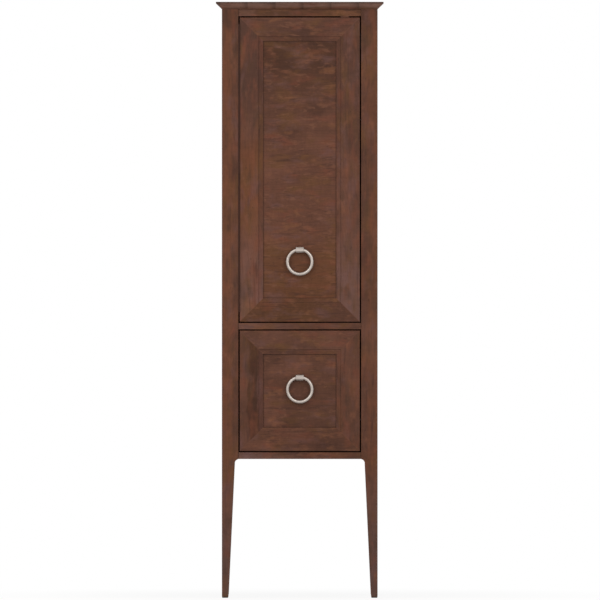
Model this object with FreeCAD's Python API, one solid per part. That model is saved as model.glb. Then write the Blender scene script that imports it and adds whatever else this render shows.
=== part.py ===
import FreeCAD, Part
import math
import os

# Tall bathroom cabinet on four tapered legs: a door above, a deep drawer below, a ring pull on each.
# Millimetres. +Z is up, the front faces -Y, and the origin is on the floor under the middle of the crown.

V = FreeCAD.Vector
UP = V(0, 0, 1)
ACROSS = V(1, 0, 0)
BACKWARD = V(0, 1, 0)

# Heights of the front, from the floor up
leg_clearance = 396.0
bottom_rail_height = 19.0
drawer_opening_height = 351.0
middle_rail_height = 18.0
door_opening_height = 875.0
top_rail_height = 20.0
crown_bevel_height = 16.0
crown_lip_height = 5.0

# Case in plan
case_width = 444.0
case_depth = 350.0
crown_overhang = 17.0
crown_round = 1.0
post_width = 47.0
post_round = 1.5

# Legs
leg_top_width = 37.0
leg_foot_width = 18.5
leg_fillet = 13.0
glide_height = 3.0
glide_radius = 8.5
glide_nail_radius = 1.5
glide_nail_length = 16.0

# Rails and their tenons
rail_setback = 2.0
front_rail_depth = 40.0
rear_rail_depth = 22.0
rear_top_rail_height = 80.0
tenon_length = 16.0
tenon_shoulder = 4.0
tenon_from_groove = 2.0
crown_dowel_radius = 5.0
crown_dowel_in_post = 20.0
crown_dowel_in_crown = 12.0
wall_hole_radius = 3.0
wall_hole_spacing = 240.0
wall_hole_drop = 40.0

# Panels and boards of the case
side_panel_thickness = 16.0
side_panel_setback = 3.0
side_panel_tongue = 8.0
back_panel_thickness = 6.0
back_panel_inset = 6.0
back_panel_tongue = 8.0
board_tongue = 6.0
bottom_board_thickness = 9.0
bottom_board_lift = 5.0
middle_board_thickness = 12.0
middle_board_drop = 3.0

# Glass shelves on pins, with spare pin holes above and below
lower_shelf_height = 285.0
upper_shelf_height = 575.0
shelf_thickness = 6.0
shelf_play = 1.0
shelf_pin_radius = 2.5
shelf_pin_in_panel = 10.0
shelf_pin_reach = 9.0
shelf_pin_inset = 35.0
pin_hole_pitch = 32.0
spare_pin_holes = 2

# Door and drawer front: a mitred frame with a sloped face round a flat panel
front_gap = 3.5
front_edge_thickness = 18.0
bevel_width = 54.0
band_width = 13.0
ridge_rise = 6.5
ridge_step = 1.5
panel_step = 3.0
front_panel_thickness = 10.0
front_panel_groove = 9.0
front_panel_play = 1.0
front_edge_round = 1.5
ridge_round = 0.8

# Continuous hinge in the gap between the left front post and the door
hinge_above_door_bottom = 28.0
hinge_below_door_top = 18.0
hinge_leaf_depth = 15.5
hinge_leaf_thickness = 0.8
hinge_pin_radius = 0.8
hinge_knuckles = 33
hinge_knuckle_play = 0.2
hinge_screws_per_leaf = 8
hinge_screw_from_end = 20.0
running_clearance = 0.05

# Magnetic catch and stop of the door
catch_width = 20.0
catch_depth = 20.0
catch_height = 44.0
catch_wall = 3.0
catch_drop = 70.0
catch_air = 0.3
magnet_depth = 6.0
strike_width = 11.0
strike_height = 40.0
strike_thickness = 1.2
catch_screw_spacing = 28.0
stop_length = 120.0
stop_depth = 12.0
stop_height = 14.0

# Rub block in the gap over the door, on the side of the catch
rub_block_from_middle = 128.3
rub_block_width = 24.0
rub_block_depth = 14.0
rub_block_setback = 1.0
rub_block_clearance = 0.5

# Drawer box
drawer_lift = 22.0
drawer_box_height = 250.0
drawer_back_gap = 18.0
drawer_wall = 12.0
drawer_bottom_thickness = 6.0
drawer_bottom_lift = 10.0
drawer_groove = 6.0
front_screw_inset = 45.0

# Drawer slides, three nested channels on each side
slide_back_gap = 16.0
slide_height = 45.0
slide_thickness = 12.7
slide_wall = 1.5
slide_play = 0.3
slide_web_gap = 2.5
slide_start = 2.0
slide_lift = 70.0
slide_screw_spacing = 90.0
slide_block_height = 70.0

# Ring pulls
door_pull_height = 204.0
drawer_pull_height = 208.5
boss_width = 22.0
boss_above_pin = 9.0
boss_below_pin = 6.5
boss_depth = 15.5
boss_chamfer = 4.0
boss_round = 0.8
pin_standoff = 8.5
ring_radius = 35.0
ring_wire_radius = 4.5
ring_end_play = 0.3
ring_pin_radius = 3.0
ring_pin_length = 8.0
pull_screw_radius = 2.0
pull_screw_bite = 5.0
pull_screw_clearance = 0.3

# Wood screws
screw_radius = 1.75
screw_head_radius = 3.5
screw_head_height = 1.8
screw_bite = 9.0
hinge_screw_length = 15.0
back_screw_spacing = 60.0

# Cutting tools run this far past the faces that they cut
cut_spare = 5.0

# Levels and planes that follow from the sizes above
drawer_opening_bottom = leg_clearance + bottom_rail_height
drawer_opening_top = drawer_opening_bottom + drawer_opening_height
door_opening_bottom = drawer_opening_top + middle_rail_height
door_opening_top = door_opening_bottom + door_opening_height
case_top = door_opening_top + top_rail_height
crown_top = case_top + crown_bevel_height + crown_lip_height
back_plane = (case_depth + crown_overhang) / 2
front_plane = back_plane - case_depth
side_plane = case_width / 2
opening_half = side_plane - post_width
front_post_back = front_plane + post_width
rear_post_front = back_plane - post_width
rail_front = front_plane + rail_setback
rail_back = rail_front + front_rail_depth
back_panel_rear = back_plane - back_panel_inset
back_panel_front = back_panel_rear - back_panel_thickness
rear_rail_front = back_panel_front - rear_rail_depth
panel_outer = side_plane - side_panel_setback
panel_inner = panel_outer - side_panel_thickness
front_back = rail_front + front_edge_thickness
frame_width = bevel_width + band_width
front_half_width = opening_half - front_gap
ridge_level = front_edge_thickness + ridge_rise
band_level = ridge_level - ridge_step
panel_level = band_level - panel_step
panel_face = front_back - panel_level
panel_rear = panel_face + front_panel_thickness
pin_y = panel_face - pin_standoff
hinge_x = -(opening_half + front_half_width) / 2
hinge_radius = front_gap / 2 - running_clearance
hinge_y = rail_front - hinge_radius
door_bottom = door_opening_bottom + front_gap
door_top = door_opening_top - front_gap
hinge_bottom = door_bottom + hinge_above_door_bottom
hinge_top = door_top - hinge_below_door_top
hinge_leaf_front = hinge_y + hinge_radius + hinge_knuckle_play
hinge_leaf_back = hinge_y + hinge_leaf_depth
drawer_front_bottom = drawer_opening_bottom + front_gap
drawer_front_top = drawer_opening_top - front_gap
box_bottom = drawer_opening_bottom + drawer_lift
box_top = box_bottom + drawer_box_height
box_half = opening_half - slide_thickness
box_back = back_panel_front - drawer_back_gap
slide_front = front_back + slide_start
slide_length = back_panel_front - slide_back_gap - slide_front
slide_level = box_bottom + slide_lift
catch_front = front_back + strike_thickness + catch_air
catch_middle = V(opening_half - catch_width / 2, catch_front + catch_depth / 2, door_opening_top - catch_drop)


def block(x_span, y_span, z_span):
    """Rectangular block between two values along each axis."""
    x_low, x_high = sorted(x_span)
    y_low, y_high = sorted(y_span)
    z_low, z_high = sorted(z_span)
    return Part.makeBox(x_high - x_low, y_high - y_low, z_high - z_low, V(x_low, y_low, z_low))


def inset(span, amount):
    """The span drawn in by an amount at both ends."""
    low, high = span
    return (low + amount, high - amount)


def around(middle, width):
    """The span of a width about its middle."""
    return (middle - width / 2, middle + width / 2)


def one_solid(shape):
    """The single solid that a cut or a join has left."""
    (solid,) = shape.Solids
    return solid


def cut_by(shape, tools):
    return one_solid(shape.cut(list(tools)))


def joined(shape, others):
    return one_solid(shape.fuse(list(others)).removeSplitter())


def other_side(shape):
    """Mirror image across the middle of the cabinet."""
    return shape.mirror(V(0, 0, 0), ACROSS)


def rounded_outline(corners):
    """Closed wire through corner points, each given with the radius of its round."""
    edges = []
    arrivals = []
    departures = []
    for index, (point, radius) in enumerate(corners):
        before = (corners[index - 1][0] - point).normalize()
        after = (corners[(index + 1) % len(corners)][0] - point).normalize()
        half_angle = before.getAngle(after) / 2
        reach = radius / math.tan(half_angle)
        arrivals.append(point + before * reach)
        departures.append(point + after * reach)
        if radius > 0:
            inward = (before + after).normalize()
            middle = point + inward * (radius / math.sin(half_angle) - radius)
            edges.append(Part.Arc(arrivals[-1], middle, departures[-1]).toShape())
    for index, start in enumerate(departures):
        edges.append(Part.makeLine(start, arrivals[(index + 1) % len(corners)]))
    return Part.Wire(Part.sortEdges(edges)[0])


def prism(corners, along):
    return Part.Face(rounded_outline(corners)).extrude(along)


def pan_screw(seat, direction, length):
    """Wood screw with a low round head that sits on the seat."""
    head_top = seat - direction * screw_head_height
    head = Part.makeCylinder(screw_head_radius, screw_head_height, head_top, direction)
    shank = Part.makeCylinder(screw_radius, length, seat, direction)
    return joined(head, [shank])


def flat_screw(seat, direction, length):
    """Wood screw whose countersunk head ends flush with the seat."""
    taper = screw_head_radius - screw_radius
    head = Part.makeCone(screw_head_radius, screw_radius, taper, seat, direction)
    shank = Part.makeCylinder(screw_radius, length, seat, direction)
    return joined(head, [shank])


def plain_post():
    """Front left post: square and straight in the case, tapered on its two inner faces below it."""
    x_outer = -side_plane
    y_outer = front_plane
    x_inner = -opening_half
    y_inner = front_post_back
    plan = [V(x_outer, y_outer, glide_height), V(x_inner, y_outer, glide_height),
            V(x_inner, y_inner, glide_height), V(x_outer, y_inner, glide_height)]
    post = prism([(corner, post_round) for corner in plan], UP * (case_top - glide_height))
    beside = prism([(V(x_inner + cut_spare, y_outer - cut_spare, leg_clearance), 0),
                    (V(x_outer + leg_top_width, y_outer - cut_spare, leg_clearance), leg_fillet),
                    (V(x_outer + leg_foot_width, y_outer - cut_spare, 0), 0),
                    (V(x_inner + cut_spare, y_outer - cut_spare, 0), 0)],
                   BACKWARD * (post_width + 2 * cut_spare))
    behind = prism([(V(x_outer - cut_spare, y_inner + cut_spare, leg_clearance), 0),
                    (V(x_outer - cut_spare, y_outer + leg_top_width, leg_clearance), leg_fillet),
                    (V(x_outer - cut_spare, y_outer + leg_foot_width, 0), 0),
                    (V(x_outer - cut_spare, y_inner + cut_spare, 0), 0)],
                   ACROSS * (post_width + 2 * cut_spare))
    return cut_by(post, [beside, behind])


def on_four_corners(shape):
    """Copies of a front left piece at the front left, front right, rear left and rear right."""
    middle = V(0, (front_plane + back_plane) / 2, 0)
    rear = shape.mirror(middle, BACKWARD)
    return [shape, other_side(shape), rear, other_side(rear)]


def foot_glide():
    """Round glide under the front left leg, with the nail that holds it."""
    x_foot = -side_plane + leg_foot_width / 2
    y_foot = front_plane + leg_foot_width / 2
    disc = Part.makeCylinder(glide_radius, glide_height, V(x_foot, y_foot, 0))
    nail = Part.makeCylinder(glide_nail_radius, glide_nail_length, V(x_foot, y_foot, glide_height))
    return joined(disc, [nail])


def crown_dowel():
    """Dowel from the top of the front left post up into the crown."""
    foot = V(-side_plane + post_width / 2, front_plane + post_width / 2, case_top - crown_dowel_in_post)
    return Part.makeCylinder(crown_dowel_radius, crown_dowel_in_post + crown_dowel_in_crown, foot)


def crown():
    """Top board: a sloped underside out to a straight lip, flush with the posts at the back."""
    lip_bottom = case_top + crown_bevel_height
    out = side_plane + crown_overhang
    front = front_plane - crown_overhang
    lower = [V(-side_plane, front_plane, case_top), V(side_plane, front_plane, case_top),
             V(side_plane, back_plane, case_top), V(-side_plane, back_plane, case_top)]
    upper = [V(-out, front, lip_bottom), V(out, front, lip_bottom),
             V(out, back_plane, lip_bottom), V(-out, back_plane, lip_bottom)]
    wires = [Part.makePolygon(corners + corners[:1]) for corners in (lower, upper)]
    bevel = Part.makeLoft(wires, True, True)
    lip = block((-out, out), (front, back_plane), (lip_bottom, crown_top))
    board = joined(bevel, [lip])
    arrises = [edge for edge in board.Edges if edge.BoundBox.ZMin > crown_top - crown_round]
    return one_solid(board.makeFillet(min(crown_round, crown_lip_height / 2), arrises))


def tenoned_rail(y_span, z_span):
    """Rail between two posts, with a tenon on each end that stays clear of the grooves for the boards."""
    body = block((-opening_half, opening_half), y_span, z_span)
    tenon_half = opening_half + tenon_length
    cheek = board_tongue + tenon_from_groove
    tenon = block((-tenon_half, tenon_half), inset(y_span, cheek), inset(z_span, tenon_shoulder))
    return joined(body, [tenon])


def front_rail(bottom, height):
    return tenoned_rail((rail_front, rail_back), (bottom, bottom + height))


def rear_rail(bottom, height):
    return tenoned_rail((rear_rail_front, back_panel_front), (bottom, bottom + height))


def wall_holes():
    """Two through holes for screwing the top rear rail and the back panel to a wall."""
    level = case_top - wall_hole_drop
    length = back_panel_rear - rear_rail_front + 2 * cut_spare
    return [Part.makeCylinder(wall_hole_radius, length, V(x, rear_rail_front - cut_spare, level), BACKWARD)
            for x in around(0, wall_hole_spacing)]


def left_side_panel():
    """Flat panel set back between the posts, its edges in their grooves."""
    y_span = (front_post_back - side_panel_tongue, rear_post_front + side_panel_tongue)
    return block((-panel_outer, -panel_inner), y_span, (leg_clearance, case_top))


def back_panel():
    half = opening_half + back_panel_tongue
    return block((-half, half), (back_panel_front, back_panel_rear), (leg_clearance, case_top))


def case_board(y_span, z_span, posts):
    """Board across the case, let into the side panels and notched round the posts."""
    half = panel_inner + board_tongue
    return cut_by(block((-half, half), y_span, z_span), posts)


def bottom_board(posts):
    bottom = leg_clearance + bottom_board_lift
    y_span = (rail_back - board_tongue, rear_rail_front + board_tongue)
    return case_board(y_span, (bottom, bottom + bottom_board_thickness), posts)


def middle_board(posts):
    top = door_opening_bottom - middle_board_drop
    y_span = (rail_back - board_tongue, back_panel_front)
    return case_board(y_span, (top - middle_board_thickness, top), posts)


def glass_shelf(height):
    half = panel_inner - shelf_play
    bottom = door_opening_bottom + height
    y_span = (front_post_back + shelf_play, rear_post_front - shelf_play)
    return block((-half, half), y_span, (bottom, bottom + shelf_thickness))


def pin_places(height):
    """Centres on the left side panel of the two pins that carry a shelf."""
    level = door_opening_bottom + height - shelf_pin_radius
    return [V(-panel_inner, y, level)
            for y in inset((front_post_back, rear_post_front), shelf_pin_inset)]


def shelf_pins(height):
    left = [Part.makeCylinder(shelf_pin_radius, shelf_pin_in_panel + shelf_pin_reach,
                              place - ACROSS * shelf_pin_in_panel, ACROSS)
            for place in pin_places(height)]
    return left + [other_side(pin) for pin in left]


def pin_holes(height):
    """Holes in the left side panel for one shelf: the used ones and spares above and below."""
    return [Part.makeCylinder(shelf_pin_radius, shelf_pin_in_panel + cut_spare,
                              place + UP * step * pin_hole_pitch - ACROSS * shelf_pin_in_panel, ACROSS)
            for place in pin_places(height)
            for step in range(-spare_pin_holes, spare_pin_holes + 1)]


def front_section():
    """Section of the mitred frame, from its outer edge inward and from its back forward, with rounds."""
    groove_floor = frame_width - front_panel_groove
    panel_back_level = panel_level - front_panel_thickness
    return [(0, 0, 0),
            (frame_width, 0, 0),
            (frame_width, panel_back_level, 0),
            (groove_floor, panel_back_level, 0),
            (groove_floor, panel_level, 0),
            (frame_width, panel_level, 0),
            (frame_width, band_level, ridge_round),
            (bevel_width, band_level, 0),
            (bevel_width, ridge_level, min(ridge_round, ridge_step / 2)),
            (0, front_edge_thickness, front_edge_round)]


def frame_member(length, reach, middle_level, turn):
    """Mitred member below the middle of a front, turned about that middle to its own side."""
    outer = middle_level - reach
    section = [(V(-length / 2, front_back - forward, outer + inward), radius)
               for inward, forward, radius in front_section()]
    bar = prism(section, ACROSS * length)
    wide = length / 2 + cut_spare
    narrow = length / 2 - frame_width - cut_spare
    behind = front_back + cut_spare
    mitre = prism([(V(-wide, behind, outer - cut_spare), 0),
                   (V(wide, behind, outer - cut_spare), 0),
                   (V(narrow, behind, outer + frame_width + cut_spare), 0),
                   (V(-narrow, behind, outer + frame_width + cut_spare), 0)],
                  BACKWARD * -(ridge_level + 2 * cut_spare))
    member = one_solid(bar.common(mitre))
    member.rotate(V(0, 0, middle_level), BACKWARD, turn)
    return member


def panelled_front(bottom, top):
    """Bottom rail, left stile, top rail, right stile and panel of a door or drawer front."""
    middle_level = (bottom + top) / 2
    half_height = (top - bottom) / 2
    width = 2 * front_half_width
    members = [frame_member(width, half_height, middle_level, 0),
               frame_member(2 * half_height, front_half_width, middle_level, 90),
               frame_member(width, half_height, middle_level, 180),
               frame_member(2 * half_height, front_half_width, middle_level, 270)]
    hidden = front_panel_groove - front_panel_play
    panel_half_width = front_half_width - frame_width + hidden
    panel_half_height = half_height - frame_width + hidden
    panel = block((-panel_half_width, panel_half_width), (panel_face, panel_rear),
                  around(middle_level, 2 * panel_half_height))
    return members + [panel]


def hinge_leaf(wood_x, first_knuckle):
    """Leaf against the wood at x: a flat strip, with every second knuckle rolled round the pin."""
    leaf_x = wood_x + math.copysign(hinge_leaf_thickness, hinge_x - wood_x)
    strip = block((wood_x, leaf_x), (hinge_leaf_front, hinge_leaf_back), (hinge_bottom, hinge_top))
    pitch = (hinge_top - hinge_bottom) / hinge_knuckles
    rolled = []
    for index in range(first_knuckle, hinge_knuckles, 2):
        low = hinge_bottom + index * pitch
        low, high = inset((low, low + pitch), hinge_knuckle_play / 2)
        rolled.append(Part.makeCylinder(hinge_radius, high - low, V(hinge_x, hinge_y, low)))
        rolled.append(block((wood_x, leaf_x), (hinge_y, hinge_leaf_front), (low, high)))
    bore = Part.makeCylinder(hinge_pin_radius + running_clearance, hinge_top - hinge_bottom,
                             V(hinge_x, hinge_y, hinge_bottom))
    return cut_by(joined(strip, rolled), [bore])


def hinge_pin():
    """Wire through all the knuckles."""
    return Part.makeCylinder(hinge_pin_radius, hinge_top - hinge_bottom, V(hinge_x, hinge_y, hinge_bottom))


def hinge_screws(wood_x):
    """Row of countersunk screws through a leaf into the wood at x."""
    into_wood = ACROSS * math.copysign(1, wood_x - hinge_x)
    seat = V(wood_x, (hinge_leaf_front + hinge_leaf_back) / 2, 0) - into_wood * hinge_leaf_thickness
    low, high = inset((hinge_bottom, hinge_top), hinge_screw_from_end)
    pitch = (high - low) / (hinge_screws_per_leaf - 1)
    return [flat_screw(seat + UP * (low + index * pitch), into_wood, hinge_screw_length)
            for index in range(hinge_screws_per_leaf)]


def door_rub_block():
    """Block under the top rail that the top of the door passes closely below."""
    front = rail_front + rub_block_setback
    return block(around(rub_block_from_middle, rub_block_width), (front, front + rub_block_depth),
                 (door_top + rub_block_clearance, door_opening_top))


def catch_magnet():
    x_span = around(catch_middle.x, catch_width - 2 * catch_wall)
    z_span = around(catch_middle.z, catch_height - 2 * catch_wall)
    return block(x_span, (catch_front, catch_front + magnet_depth), z_span)


def catch_body(magnet):
    """Housing on the right front post, with the magnet flush in its front face."""
    housing = block(around(catch_middle.x, catch_width), around(catch_middle.y, catch_depth),
                    around(catch_middle.z, catch_height))
    return cut_by(housing, [magnet])


def catch_screws():
    """Screws through the housing behind the magnet into the post."""
    seat_x = catch_middle.x - catch_width / 2
    behind_magnet = catch_middle.y + magnet_depth / 2
    return [pan_screw(V(seat_x, behind_magnet, z), ACROSS, catch_width + screw_bite)
            for z in around(catch_middle.z, catch_screw_spacing)]


def strike_plate():
    """Steel plate on the back of the door, opposite the magnet."""
    return block(around(catch_middle.x, strike_width), (front_back, front_back + strike_thickness),
                 around(catch_middle.z, strike_height))


def strike_screws():
    seat_y = front_back + strike_thickness
    return [flat_screw(V(catch_middle.x, seat_y, z), -BACKWARD, strike_thickness + screw_bite)
            for z in around(catch_middle.z, catch_screw_spacing)]


def door_stop():
    """Block on the middle rail that the closed door rests against."""
    return block((opening_half - stop_length, opening_half), (front_back, front_back + stop_depth),
                 (door_opening_bottom, door_opening_bottom + stop_height))


def channel(web_x, tip_x, height):
    """Pressed channel on the left: an upright web and two flanges that reach from it to the tip."""
    toward_tip = math.copysign(slide_wall, tip_x - web_x)
    y_span = (slide_front, slide_front + slide_length)
    z_span = around(slide_level, height)
    web = block((web_x, web_x + toward_tip), y_span, z_span)
    flanges = [block((web_x, tip_x), y_span, (edge, edge + inward))
               for edge, inward in zip(z_span, (slide_wall, -slide_wall))]
    return joined(web, flanges)


def left_slide():
    """Outer, middle and inner channel of the left slide, nested with play between them."""
    case_face = -opening_half
    drawer_face = case_face + slide_thickness
    tip = drawer_face - slide_wall - slide_play
    middle_web = case_face + slide_wall + slide_web_gap
    nest = 2 * (slide_wall + slide_play)
    outer = channel(case_face, tip, slide_height)
    middle = channel(middle_web, tip, slide_height - nest)
    inner = channel(drawer_face, middle_web + slide_wall + slide_play, slide_height - 2 * nest)
    return outer, middle, inner


def slide_screw_rows():
    middle = slide_front + slide_length / 2
    return [middle + step * slide_screw_spacing for step in (-1, 0, 1)]


def left_case_slide_screws():
    seat_x = -opening_half + slide_wall
    return [pan_screw(V(seat_x, y, slide_level), -ACROSS, slide_wall + screw_bite)
            for y in slide_screw_rows()]


def left_drawer_slide_screws():
    seat_x = -box_half - slide_wall
    return [pan_screw(V(seat_x, y, slide_level), ACROSS, slide_wall + screw_bite)
            for y in slide_screw_rows()]


def left_slide_block():
    """Wood block that brings the side panel level with the post, to carry the slide."""
    return block((-panel_inner, -opening_half), (front_post_back, rear_post_front),
                 around(slide_level, slide_block_height))


def back_screws():
    """Screws through the back panel into the two rear rails."""
    levels = (case_top - rear_top_rail_height / 2, leg_clearance + bottom_rail_height / 2)
    return [pan_screw(V(step * back_screw_spacing, back_panel_rear, level), -BACKWARD,
                      back_panel_thickness + screw_bite)
            for level in levels
            for step in (-1, 0, 1)]


def drawer_left_side():
    return block((-box_half, -box_half + drawer_wall), (front_back, box_back), (box_bottom, box_top))


def drawer_cross_board(y_front):
    """Front or back board of the drawer box, between its sides."""
    half = box_half - drawer_wall
    return block((-half, half), (y_front, y_front + drawer_wall), (box_bottom, box_top))


def drawer_bottom():
    """Bottom of the drawer box, let into grooves all round."""
    half = box_half - drawer_wall + drawer_groove
    bottom = box_bottom + drawer_bottom_lift
    y_span = inset((front_back, box_back), drawer_wall - drawer_groove)
    return block((-half, half), y_span, (bottom, bottom + drawer_bottom_thickness))


def drawer_front_screws():
    """Screws from inside the box into the stiles of the drawer front."""
    column = front_half_width - frame_width / 2
    return [pan_screw(V(x, front_back + drawer_wall, z), -BACKWARD, drawer_wall + screw_bite)
            for x in (-column, column)
            for z in inset((box_bottom, box_top), front_screw_inset)]


def pull_boss(level):
    """Block on the panel that carries the ring on two pins; its long front edges are chamfered."""
    top = level + boss_above_pin
    bottom = level - boss_below_pin
    front = panel_face - boss_depth
    x_left = -boss_width / 2
    body = prism([(V(x_left, panel_face, bottom), 0),
                  (V(x_left, front + boss_chamfer, bottom), boss_round),
                  (V(x_left, front, bottom + boss_chamfer), boss_round),
                  (V(x_left, front, top - boss_chamfer), boss_round),
                  (V(x_left, front + boss_chamfer, top), boss_round),
                  (V(x_left, panel_face, top), 0)],
                 ACROSS * boss_width)
    bore = Part.makeCylinder(ring_pin_radius + running_clearance, boss_width + 2 * cut_spare,
                             V(x_left - cut_spare, pin_y, level), ACROSS)
    return cut_by(body, [bore])


def pull_ring(level):
    """Round ring, open behind the boss, with a pin on each end that turns in the boss."""
    end = boss_width / 2 + ring_end_play
    drop = math.sqrt(ring_radius ** 2 - end ** 2)
    centre = V(0, pin_y, level - drop)
    hoop = Part.makeTorus(ring_radius, ring_wire_radius, centre, BACKWARD)
    mouth = block((-end, end), around(pin_y, 4 * ring_wire_radius),
                  (centre.z, level + 2 * ring_wire_radius))
    pins = [Part.makeCylinder(ring_pin_radius, ring_pin_length, V(side * end, pin_y, level), ACROSS * -side)
            for side in (-1, 1)]
    return joined(cut_by(hoop, [mouth]), pins)


def pull_screw(level, head_y):
    """Machine screw from behind into the boss."""
    head = Part.makeCylinder(screw_head_radius, screw_head_height, V(0, head_y, level), BACKWARD)
    length = head_y - panel_face + pull_screw_bite
    shank = Part.makeCylinder(pull_screw_radius, length, V(0, head_y, level), -BACKWARD)
    return joined(head, [shank])


def pull_screw_hole(level):
    """Clearance hole for the screw of a pull, through everything behind the boss."""
    radius = pull_screw_radius + pull_screw_clearance
    length = front_back + drawer_wall - panel_face + cut_spare
    return Part.makeCylinder(radius, length, V(0, panel_face, level), BACKWARD)


def case_pieces():
    """Pieces that stand still: posts, rails, panels, boards, shelves and fixed hardware."""
    posts = on_four_corners(plain_post())
    glides = on_four_corners(foot_glide())
    dowels = on_four_corners(crown_dowel())
    low_board = bottom_board(posts)
    mid_board = middle_board(posts)
    post_leaf_screws = hinge_screws(-opening_half)
    left_panel = left_side_panel()
    right_panel = other_side(left_panel)
    left_holes = pin_holes(lower_shelf_height) + pin_holes(upper_shelf_height)
    right_holes = [other_side(hole) for hole in left_holes]
    rear = back_panel()
    left_block = left_slide_block()
    right_block = other_side(left_block)
    left_outer = left_slide()[0]
    right_outer = other_side(left_outer)
    slide_screws = left_case_slide_screws()
    slide_screws = slide_screws + [other_side(screw) for screw in slide_screws]
    panel_screws = back_screws()
    latch_screws = catch_screws()
    magnet = catch_magnet()
    rails = {
        "front_top_rail": front_rail(door_opening_top, top_rail_height),
        "front_middle_rail": cut_by(front_rail(drawer_opening_top, middle_rail_height), [mid_board]),
        "front_bottom_rail": cut_by(front_rail(leg_clearance, bottom_rail_height), [low_board]),
        "rear_top_rail": cut_by(rear_rail(case_top - rear_top_rail_height, rear_top_rail_height),
                                wall_holes() + panel_screws),
        "rear_bottom_rail": cut_by(rear_rail(leg_clearance, bottom_rail_height),
                                   [low_board] + panel_screws),
    }
    let_in = list(rails.values()) + [left_panel, right_panel, rear] + dowels + glides
    let_in = let_in + latch_screws + post_leaf_screws
    post_names = ("front_left_post", "front_right_post", "rear_left_post", "rear_right_post")
    pieces = {name: cut_by(post, let_in) for name, post in zip(post_names, posts)}
    pieces.update(rails)
    pieces["crown"] = cut_by(crown(), dowels)
    pieces["crown_dowels"] = dowels
    pieces["left_side_panel"] = cut_by(left_panel, left_holes + [low_board, mid_board])
    pieces["right_side_panel"] = cut_by(right_panel, right_holes + [low_board, mid_board])
    pieces["back_panel"] = cut_by(rear, wall_holes() + panel_screws)
    pieces["bottom_board"] = low_board
    pieces["middle_board"] = mid_board
    pieces["lower_shelf"] = glass_shelf(lower_shelf_height)
    pieces["upper_shelf"] = glass_shelf(upper_shelf_height)
    pieces["shelf_pins"] = shelf_pins(lower_shelf_height) + shelf_pins(upper_shelf_height)
    pieces["left_slide_block"] = cut_by(left_block, slide_screws)
    pieces["right_slide_block"] = cut_by(right_block, slide_screws)
    pieces["left_slide_outer"] = cut_by(left_outer, slide_screws)
    pieces["right_slide_outer"] = cut_by(right_outer, slide_screws)
    pieces["hinge_post_leaf"] = cut_by(hinge_leaf(-opening_half, 0), post_leaf_screws)
    pieces["hinge_pin"] = hinge_pin()
    pieces["catch_magnet"] = magnet
    pieces["catch_body"] = cut_by(catch_body(magnet), latch_screws)
    pieces["door_stop"] = door_stop()
    pieces["door_rub_block"] = door_rub_block()
    pieces["case_screws"] = slide_screws + panel_screws + latch_screws + post_leaf_screws
    pieces["foot_glides"] = glides
    return pieces


def door_pieces():
    """Pieces that swing with the door, and its ring."""
    level = door_bottom + door_pull_height
    front = panelled_front(door_bottom, door_top)
    bottom_rail, left_stile, top_rail, right_stile, panel = front
    leaf_screws = hinge_screws(-front_half_width)
    plate_screws = strike_screws()
    screw = pull_screw(level, panel_rear)
    return {
        "door_bottom_rail": bottom_rail,
        "door_left_stile": cut_by(left_stile, leaf_screws),
        "door_top_rail": top_rail,
        "door_right_stile": cut_by(right_stile, plate_screws),
        "door_panel": cut_by(panel, [pull_screw_hole(level)]),
        "hinge_door_leaf": cut_by(hinge_leaf(-front_half_width, 1), leaf_screws),
        "strike_plate": cut_by(strike_plate(), plate_screws),
        "door_screws": leaf_screws + plate_screws,
        "door_pull_boss": cut_by(pull_boss(level), [screw]),
        "door_pull_screw": screw,
        "door_pull_ring": pull_ring(level),
    }


def drawer_pieces():
    """Pieces that slide with the drawer, its ring, and the middle channels of its slides."""
    level = drawer_front_bottom + drawer_pull_height
    front = panelled_front(drawer_front_bottom, drawer_front_top)
    bottom_rail, left_stile, top_rail, right_stile, panel = front
    floor = drawer_bottom()
    left_side = drawer_left_side()
    slide_screws = left_drawer_slide_screws()
    slide_screws = slide_screws + [other_side(screw) for screw in slide_screws]
    front_screws = drawer_front_screws()
    middle, inner = left_slide()[1:]
    screw = pull_screw(level, front_back + drawer_wall)
    hole = pull_screw_hole(level)
    return {
        "drawer_front_bottom_rail": bottom_rail,
        "drawer_front_left_stile": cut_by(left_stile, front_screws),
        "drawer_front_top_rail": top_rail,
        "drawer_front_right_stile": cut_by(right_stile, front_screws),
        "drawer_front_panel": cut_by(panel, [hole]),
        "drawer_box_front": cut_by(drawer_cross_board(front_back), front_screws + [floor, hole]),
        "drawer_box_back": cut_by(drawer_cross_board(box_back - drawer_wall), [floor]),
        "drawer_left_side": cut_by(left_side, slide_screws + [floor]),
        "drawer_right_side": cut_by(other_side(left_side), slide_screws + [floor]),
        "drawer_bottom": floor,
        "left_slide_inner": cut_by(inner, slide_screws),
        "right_slide_inner": cut_by(other_side(inner), slide_screws),
        "left_slide_middle": middle,
        "right_slide_middle": other_side(middle),
        "drawer_screws": slide_screws + front_screws,
        "drawer_pull_boss": cut_by(pull_boss(level), [screw]),
        "drawer_pull_screw": screw,
        "drawer_pull_ring": pull_ring(level),
    }


os.makedirs("parts", exist_ok=True)
cabinet = {**case_pieces(), **door_pieces(), **drawer_pieces()}
for node, piece in cabinet.items():
    shape = Part.makeCompound(piece) if isinstance(piece, list) else piece
    shape.exportStep(f"parts/{node}.step")
print(len(cabinet), "nodes written")
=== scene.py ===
# %% [markdown]
# # A tall bathroom cabinet
# The cabinet is a narrow case on four tapered legs, with a panelled door above a deep panelled drawer.
# Its solids come from the frame, already in place and in metres, so this lesson adds what the eye needs:
# softened edges, real finishes, screw heads, a floor, light and a camera.

# %% Load the frame
import math

import bmesh
import bpy
from mathutils import Matrix, Vector


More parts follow.
